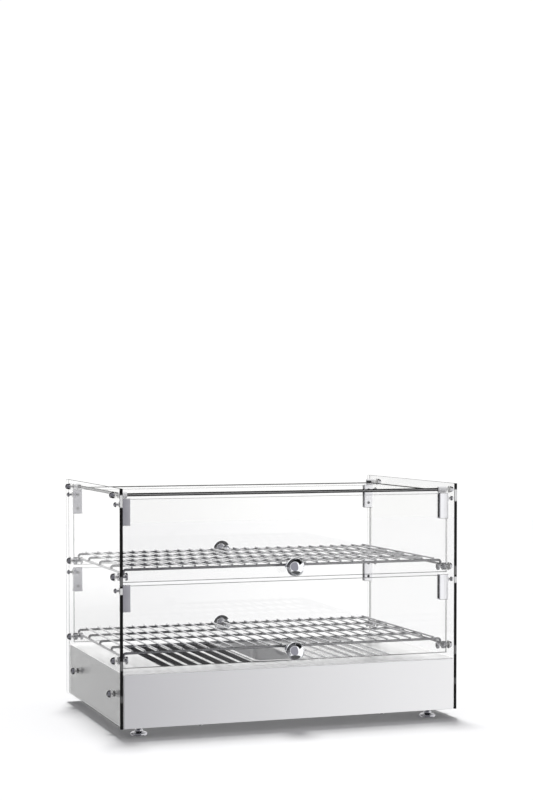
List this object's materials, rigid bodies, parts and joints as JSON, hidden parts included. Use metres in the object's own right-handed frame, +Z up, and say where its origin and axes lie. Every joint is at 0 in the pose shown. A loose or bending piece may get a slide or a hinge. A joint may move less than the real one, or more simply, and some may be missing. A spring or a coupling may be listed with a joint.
{
  "type": "hot food display case",
  "caption": "Counter-top heated glass display case with wire shelves, front and rear glass flaps, ball knobs and a slotted steel base with a water tray.",
  "frame": {"origin": "on the table under the middle of the case, at the height of the feet's undersides", "axes": "+Z up, -Y towards the front doors, +X to the right of someone facing the front"},
  "size_m": [0.5696, 0.4004, 0.376],
  "materials": {
    "glass": "clear float glass, polished edges",
    "brushed_steel": "fine satin, grain along the length",
    "polished_steel": "mirror polished",
    "heated_steel": "heat darkened",
    "satin_steel": "satin",
    "chrome": "bright plated",
    "black_plastic": "fine grained",
    "copper": "drawn tube",
    "lamp_lens": "clear amber",
    "nylon": "natural",
    "rubber": "matte",
    "wire_sheath": "silicone sleeve"
  },
  "bodies": {
    "case": {"base_front_panel": "brushed_steel", "base_rear_panel": "brushed_steel", "base_left_wall": "brushed_steel", "base_right_wall": "brushed_steel", "deck_plate": "polished_steel", "bottom_cover": "brushed_steel", "bottom_cover_screws": "chrome", "foot_nuts": "chrome", "heat_pan_left": "heated_steel", "heat_pan_right": "polished_steel", "heater_left": "heated_steel", "heater_right": "heated_steel", "heater_brackets": "satin_steel", "thermostat_body": "satin_steel", "thermostat_bulb": "copper", "switch_body": "black_plastic", "pilot_lamp": "lamp_lens", "cable_gland": "black_plastic", "terminal_block": "nylon", "internal_wires": "wire_sheath", "side_glass_left": "glass", "side_glass_right": "glass", "top_glass": "glass", "top_fittings": "satin_steel", "top_bolts": "chrome", "base_bolts": "chrome", "side_spacers": "rubber", "glass_washers": "nylon", "shelf_pins": "chrome", "shelf_pin_screws": "chrome", "hinge_pivots": "chrome"},
    "front_upper_door": {"front_upper_glass": "glass", "front_upper_clips": "satin_steel", "front_upper_set_screws": "chrome", "front_upper_knob": "chrome", "front_upper_knob_screw": "chrome"},
    "front_lower_door": {"front_lower_glass": "glass", "front_lower_clips": "satin_steel", "front_lower_set_screws": "chrome", "front_lower_knob": "chrome", "front_lower_knob_screw": "chrome"},
    "rear_upper_door": {"rear_upper_glass": "glass", "rear_upper_clips": "satin_steel", "rear_upper_set_screws": "chrome", "rear_upper_knob": "chrome", "rear_upper_knob_screw": "chrome"},
    "rear_lower_door": {"rear_lower_glass": "glass", "rear_lower_clips": "satin_steel", "rear_lower_set_screws": "chrome", "rear_lower_knob": "chrome", "rear_lower_knob_screw": "chrome"},
    "upper_rack": {"upper_rack": "chrome"},
    "lower_rack": {"lower_rack": "chrome"},
    "water_tray": {"water_tray": "polished_steel"},
    "thermostat_knob": {"thermostat_knob": "black_plastic"},
    "switch_rocker": {"switch_rocker": "black_plastic"},
    "foot_front_left": {"foot_front_left": "chrome"},
    "foot_front_right": {"foot_front_right": "chrome"},
    "foot_rear_left": {"foot_rear_left": "chrome"},
    "foot_rear_right": {"foot_rear_right": "chrome"}
  },
  "joints": [
    {"name": "front_upper_hinge", "type": "hinge", "parent": "case", "child": "front_upper_door", "pos_m": [0, -0.1575, 0.351], "axis": [-1, 0, 0], "range_deg": [0, 90]},
    {"name": "front_lower_hinge", "type": "hinge", "parent": "case", "child": "front_lower_door", "pos_m": [0, -0.1575, 0.221], "axis": [-1, 0, 0], "range_deg": [0, 90]},
    {"name": "rear_upper_hinge", "type": "hinge", "parent": "case", "child": "rear_upper_door", "pos_m": [0, 0.1575, 0.351], "axis": [1, 0, 0], "range_deg": [0, 90]},
    {"name": "rear_lower_hinge", "type": "hinge", "parent": "case", "child": "rear_lower_door", "pos_m": [0, 0.1575, 0.221], "axis": [1, 0, 0], "range_deg": [0, 90]},
    {"name": "upper_rack_lift", "type": "slide", "parent": "case", "child": "upper_rack", "axis": [0, 0, 1], "range_m": [0, 0.05]},
    {"name": "lower_rack_lift", "type": "slide", "parent": "case", "child": "lower_rack", "axis": [0, 0, 1], "range_m": [0, 0.05]},
    {"name": "water_tray_lift", "type": "slide", "parent": "case", "child": "water_tray", "axis": [0, 0, 1], "range_m": [0, 0.015]},
    {"name": "thermostat_turn", "type": "hinge", "parent": "case", "child": "thermostat_knob", "pos_m": [0.13, 0.1805, 0.057], "axis": [0, 1, 0], "range_deg": [0, 270]},
    {"name": "switch_rock", "type": "hinge", "parent": "case", "child": "switch_rocker", "pos_m": [0.07, 0.1805, 0.057], "axis": [-1, 0, 0], "range_deg": [0, 24]},
    {"name": "foot_front_left_turn", "type": "hinge", "parent": "case", "child": "foot_front_left", "pos_m": [-0.24, -0.15, 0], "axis": [0, 0, 1], "continuous": true},
    {"name": "foot_front_right_turn", "type": "hinge", "parent": "case", "child": "foot_front_right", "pos_m": [0.24, -0.15, 0], "axis": [0, 0, 1], "continuous": true},
    {"name": "foot_rear_left_turn", "type": "hinge", "parent": "case", "child": "foot_rear_left", "pos_m": [-0.24, 0.15, 0], "axis": [0, 0, 1], "continuous": true},
    {"name": "foot_rear_right_turn", "type": "hinge", "parent": "case", "child": "foot_rear_right", "pos_m": [0.24, 0.15, 0], "axis": [0, 0, 1], "continuous": true}
  ]
}
